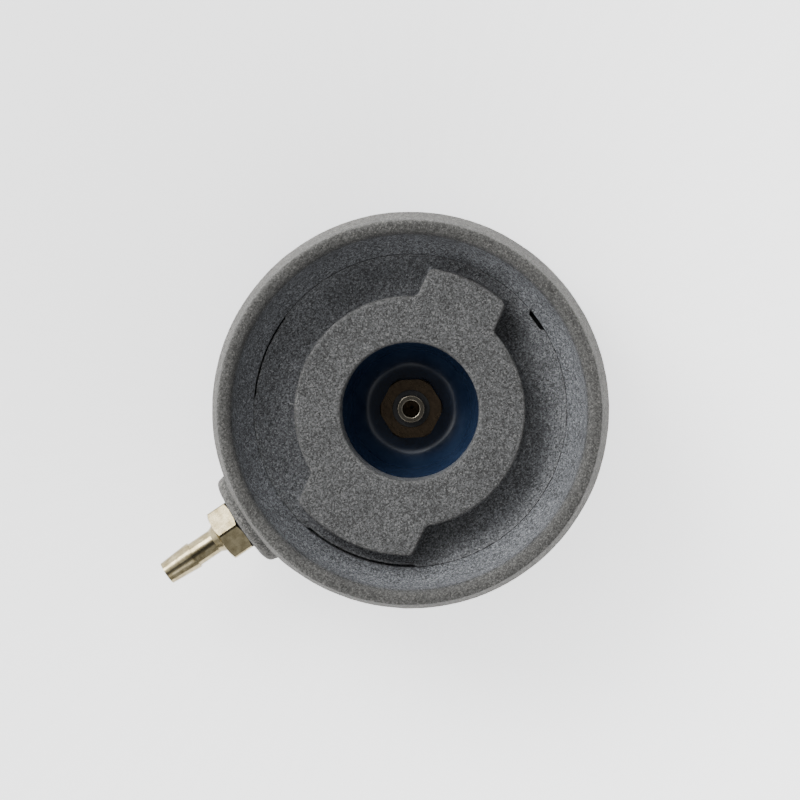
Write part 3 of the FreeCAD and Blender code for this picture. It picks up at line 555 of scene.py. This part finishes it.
def raise_boss(mesh):
    """Draw the ring's outer wall out into the rounded boss behind the hose barb."""
    points = coordinates(mesh)
    reach = np.hypot(points[:, 0], points[:, 1])
    outside = (reach > RIM_RADIUS - RIM_WIDTH * 0.2) & (points[:, 0] < 0)
    across = points[:, 1]
    up = points[:, 2] - BARB_HEIGHT
    span = np.hypot(across, up)
    near = outside & (np.abs(span - BOSS_RADIUS) < BOSS_BAND)
    off = (span - BOSS_RADIUS) / BOSS_BAND
    pulled = BOSS_RADIUS + np.sign(off) * np.abs(off) ** 1.5 * BOSS_BAND
    scale = np.where(near, pulled / np.maximum(span, MM), 1.0)
    keep_up = np.clip((points[:, 2] - RING_FOOT) / FOOT_KEEP, 0, 1)
    across = across * scale
    up = up * np.where(keep_up > 0, 1 + (scale - 1) * keep_up, 1.0)
    height = up + BARB_HEIGHT
    span = np.hypot(across, up)
    lean = np.clip((height - WIDEST_HEIGHT) / (RIM_TOP - WIDEST_HEIGHT), 0, 1)
    wall_radius = RING_RADIUS - FLARE * lean
    wall = np.sqrt(np.maximum(wall_radius ** 2 - across ** 2, 0))
    fall = np.clip(span - (BOSS_RADIUS - BOSS_ROUND), 0, BOSS_ROUND)
    face = BOSS_FACE - BOSS_ROUND + np.sqrt(np.maximum(BOSS_ROUND ** 2 - fall ** 2, 0))
    face -= np.maximum(span - BOSS_RADIUS, 0) * BOSS_FALL
    out = smooth_max(face, wall, BOSS_BLEND)
    moved = outside & (np.hypot(points[:, 1], points[:, 2] - BARB_HEIGHT) < BOSS_RADIUS + BOSS_BAND)
    moved &= reach > wall_radius - WALL_SKIN
    points[moved, 0] = -np.minimum(out[moved], BOSS_FACE)
    points[moved, 1] = across[moved]
    points[moved, 2] = height[moved]
    set_coordinates(mesh, points)


def make_ring_stone():
    soft = 0.6 * MM
    edge = CORE_RADIUS + SEAM_GAP
    dish = arc_points((RIM_INNER, RIM_TOP), (edge, SEAM_HEIGHT), -DISH_HOLLOW, DISH_POINTS)
    crown = RIM_RADIUS + FLARE * RIM_ROOF / (RIM_TOP - WIDEST_HEIGHT) - RING_WALL
    corners = [
        ((RING_RADIUS - RING_FOOT_WALL, RING_FOOT), 0.4 * MM),
        ((RING_RADIUS, RING_FOOT), soft),
        ((RING_RADIUS, WIDEST_HEIGHT), 6 * MM),
        ((RIM_RADIUS, RIM_TOP), soft),
        ((RIM_INNER, RIM_TOP), RIM_INNER_ROUND),
    ]
    corners += [(tuple(point), 0) for point in dish[RIM_POINTS:-1]]
    corners += [((edge, SEAM_HEIGHT), 0.1 * MM), ((edge, LIP_FOOT), 0.4 * MM)]
    visible = dense_outline(corners + [((LIP_OUTER, LIP_FOOT), 0)], SECTION_STEP)
    hidden = [(LIP_OUTER, SEAM_HEIGHT - 0.5 * MM), (crown - PLENUM_CROWN, PLENUM_TOP),
              (crown, PLENUM_TOP), (RING_RADIUS - RING_WALL, WIDEST_HEIGHT)]
    cut = next(i for i, point in enumerate(visible)
               if np.hypot(point[0] - LIP_OUTER, point[1] - LIP_FOOT) < SAME_POINT)
    section = [tuple(point) for point in visible[:cut + 1]] + hidden
    piece = lathe("ring_stone", section, RING_STEPS)
    raise_boss(piece.data)
    relax(piece.data, 1, 0.3)
    roughen(piece.data, STONE_SWELL, STONE_GRAIN, 0.08 * MM, 3)
    mark_edges(piece.data)
    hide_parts("outer_ring")
    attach(piece, "diffuser_base")
    # lower faces painted lighter and bluer than the rim: painted fill light
    piece.data.materials.append(stone_material(
        "ring_mineral", STONE_LEVEL, grey(1.55, -0.045), grey(0.74, 0.04), RIM_TOP))
    return piece


def sharpen_seam(mesh):
    """Put back the core's top edge, which the remesh rounds, except along the notches."""
    points = coordinates(mesh)
    normals = vertex_normals(mesh)
    reach = np.hypot(points[:, 0], points[:, 1])
    bearing = np.degrees(np.arctan2(points[:, 1], points[:, 0]))
    near = (reach > CORE_RADIUS - SEAM_EDGE_WIDTH) & (points[:, 2] > SEAM_HEIGHT - SEAM_EDGE_DEPTH)
    for middle, sweep in NOTCHES:
        off = np.abs((bearing - middle + 180) % 360 - 180)
        near &= off > sweep / 2 + NOTCH_MARGIN
    side = near & (normals[:, 2] < 0.55)
    grow = np.where(side, CORE_RADIUS / np.maximum(reach, MM), 1.0)
    points[:, :2] *= grow[:, None]
    reach = reach * grow
    top = near & (normals[:, 2] > 0.35)
    points[top, 2] = SEAM_HEIGHT - CORE_EDGE_SLOPE * (CORE_RADIUS - reach[top])
    set_coordinates(mesh, points)


def make_core_stone():
    source = nodes["core_stone"]
    mesh = source.data.copy()
    piece = bpy.data.objects.new("core_mineral", mesh)
    bpy.context.scene.collection.objects.link(piece)
    voxels = piece.modifiers.new("grain_grid", "REMESH")
    voxels.mode = "VOXEL"
    voxels.voxel_size = CORE_VOXEL
    bpy.context.view_layer.update()
    graph = bpy.context.evaluated_depsgraph_get()
    dense = bpy.data.meshes.new_from_object(piece.evaluated_get(graph))
    piece.modifiers.clear()
    piece.data = dense
    bpy.data.meshes.remove(mesh)
    dense.materials.clear()
    shade_smooth(piece)
    relax(dense, 2, 0.5)
    sharpen_seam(dense)
    roughen(dense, STONE_SWELL, STONE_GRAIN, 0.07 * MM, 101)
    mark_edges(dense)
    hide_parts("core_stone")
    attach(piece, "twist_core")
    # lower faces painted lighter and bluer than the hub's top: painted fill light
    dense.materials.append(stone_material(
        "hub_mineral", STONE_LEVEL, grey(1.45, -0.035), grey(1.0, 0.0), CORE_TOP))
    return piece


# ---------------------------------------------------------------------- stage, light, camera

VIEW_TURN = math.radians(34)        # the picture's right hand lies this far clockwise of +X
VIEW_LEAN = math.radians(2.7)       # the eye is off the disc's axis by this much
LEAN_TOWARD = math.radians(31)      # from +X, over the narrow wing
SENSOR_WIDTH = 36.0
EYE_HEIGHT = 0.90                   # above the rim
PICTURE_WIDTH = 0.2536              # across the picture in the rim's plane
PICTURE_SHIFT = (-0.0029, 0.0041)   # middle of the picture from the rim's centre, right and up
UPPER_LEFT = math.radians(135) - VIEW_TURN      # where the light tent is brightest
ZENITH_GLOW = 0.09                  # the tent's dark top, which glossy level faces mirror
DARK_TOP_LOW = 0.86                 # the dark top fades in between these heights on a unit dome
DARK_TOP_HIGH = 0.985
SIDE_GLOW = 0.50
BRIGHT_SIDE_GLOW = 2.3
BRIGHT_SIDE = (-0.1, 0.95)          # where the bright side begins, and where it is full
KEY_CLIMB = math.radians(41)
KEY_DISTANCE = 1.5
KEY_SIZE = 0.8
KEY_POWER = 15.0
FILL_TURN = math.radians(120)       # from the key light
FILL_CLIMB = math.radians(40)
FILL_DISTANCE = 1.8
FILL_SIZE = 1.2
FILL_POWER = 6.0
FLOOR_RADIUS = 1.6
FLOOR_HOLE = 0.5 * MM               # under the middle of the foot, out of sight
FLOOR_TOP = -0.4 * MM
FLOOR_UNDERSIDE = -2.0 * MM
FLOOR_STEPS = 96


def level(angle, length=1.0, height=0.0):
    return Vector((math.cos(angle) * length, math.sin(angle) * length, height))


def make_camera():
    right, up = level(-VIEW_TURN), level(math.pi / 2 - VIEW_TURN)
    eye = level(LEAN_TOWARD, math.tan(VIEW_LEAN) * EYE_HEIGHT, RIM_TOP + EYE_HEIGHT)
    target = right * PICTURE_SHIFT[0] + up * PICTURE_SHIFT[1] + Vector((0, 0, RIM_TOP))
    away = (eye - target).normalized()
    side = up.cross(away).normalized()
    data = bpy.data.cameras.new("camera")
    camera = bpy.data.objects.new("camera", data)
    bpy.context.scene.collection.objects.link(camera)
    axes = Matrix((side, away.cross(side), away)).transposed()
    camera.matrix_world = Matrix.Translation(eye) @ axes.to_4x4()
    data.sensor_width = SENSOR_WIDTH
    data.lens = SENSOR_WIDTH * (eye - target).length / PICTURE_WIDTH
    data.clip_start = 0.01
    bpy.context.scene.camera = camera


def make_light(name, angle, climb, distance, size, power):
    data = bpy.data.lights.new(name, "AREA")
    data.shape = "DISK"
    data.size = size
    data.energy = power
    light = bpy.data.objects.new(name, data)
    bpy.context.scene.collection.objects.link(light)
    place = level(angle, math.cos(climb) * distance, math.sin(climb) * distance)
    light.location = place
    light.rotation_euler = place.to_track_quat("Z", "Y").to_euler()


def make_stage():
    corners = [(FLOOR_HOLE, FLOOR_TOP), (FLOOR_RADIUS, FLOOR_TOP),
               (FLOOR_RADIUS, FLOOR_UNDERSIDE), (FLOOR_HOLE, FLOOR_UNDERSIDE)]
    floor = lathe("floor", corners, FLOOR_STEPS)
    floor.data.materials.append(floor_material())
    make_tent()
    make_light("key", UPPER_LEFT, KEY_CLIMB, KEY_DISTANCE, KEY_SIZE, KEY_POWER)
    make_light("fill", UPPER_LEFT + FILL_TURN, FILL_CLIMB, FILL_DISTANCE, FILL_SIZE, FILL_POWER)


def make_tent():
    """A light tent about the object: dark overhead, bright at the sides, brightest upper left."""
    world = bpy.data.worlds.new("light_tent")
    bpy.context.scene.world = world
    world.use_nodes = True
    tree = world.node_tree

    def maths(operation, *values):
        made = tree.nodes.new("ShaderNodeMath")
        made.operation = operation
        for socket, number in zip(made.inputs, values):
            if isinstance(number, bpy.types.NodeSocket):
                tree.links.new(number, socket)
            else:
                socket.default_value = number
        return made.outputs[0]

    def spread(number, low, high):
        made = tree.nodes.new("ShaderNodeMapRange")
        made.interpolation_type = "SMOOTHSTEP"
        tree.links.new(number, made.inputs[0])
        made.inputs[1].default_value = low
        made.inputs[2].default_value = high
        return made.outputs[0]

    way = tree.nodes.new("ShaderNodeTexCoord").outputs["Generated"]
    parts = tree.nodes.new("ShaderNodeSeparateXYZ")
    tree.links.new(way, parts.inputs[0])
    toward = tree.nodes.new("ShaderNodeVectorMath")
    toward.operation = "DOT_PRODUCT"
    tree.links.new(way, toward.inputs[0])
    toward.inputs[1].default_value = level(UPPER_LEFT)
    low_down = maths("SUBTRACT", 1.0, spread(parts.outputs["Z"], DARK_TOP_LOW, DARK_TOP_HIGH))
    bright = maths("MULTIPLY", spread(toward.outputs["Value"], *BRIGHT_SIDE), BRIGHT_SIDE_GLOW)
    sides = maths("MULTIPLY", low_down, maths("ADD", bright, SIDE_GLOW))
    background = tree.nodes["Background"]
    background.inputs[0].default_value = (0.96, 0.98, 1.0, 1)
    tree.links.new(maths("ADD", sides, ZENITH_GLOW), background.inputs[1])


# -------------------------------------------------------------------------------- assembly

make_camera()
make_ring_stone()
make_core_stone()

FINISHES = {
    blue_plastic_material(): ["base_shell", "core_carrier", "base_cover"],
    black_plastic_material(): ["bayonet_ring"],
    rubber_material(): ["core_inner_seal", "core_outer_seal", "cover_gasket", "ring_gasket_lower",
                        "ring_gasket_upper", "foot_ring", "gland_gasket", "gland_seal", "barb_washer"],
    # Brass given a very dark colour; the gland nut stands deep in the blue cup.
    metal_material("dark_brass", (0.13, 0.095, 0.062), (0.055, 0.040, 0.027), 0.22, 0.40):
        ["gland_body", "gland_nut", "lock_nut", "tube_jet"],
    metal_material("dull_brass", (0.40, 0.27, 0.13), (0.22, 0.15, 0.08), 0.26, 0.42):
        ["barb_insert", "cover_inserts"],
    metal_material("warm_nickel", (0.40, 0.34, 0.21), (0.21, 0.17, 0.092), 0.12, 0.22):
        ["side_hose_barb"],
    metal_material("tarnished_nickel", (0.40, 0.36, 0.29), (0.20, 0.17, 0.13), 0.12, 0.28):
        ["centre_tube"],
    metal_material("stainless", (0.62, 0.62, 0.63), (0.45, 0.45, 0.46), 0.22, 0.36):
        ["lock_washer", "cover_screws"],
}
for material, names in FINISHES.items():
    for name in names:
        piece = nodes[name]
        piece.data.materials.clear()
        piece.data.materials.append(material)

make_stage()
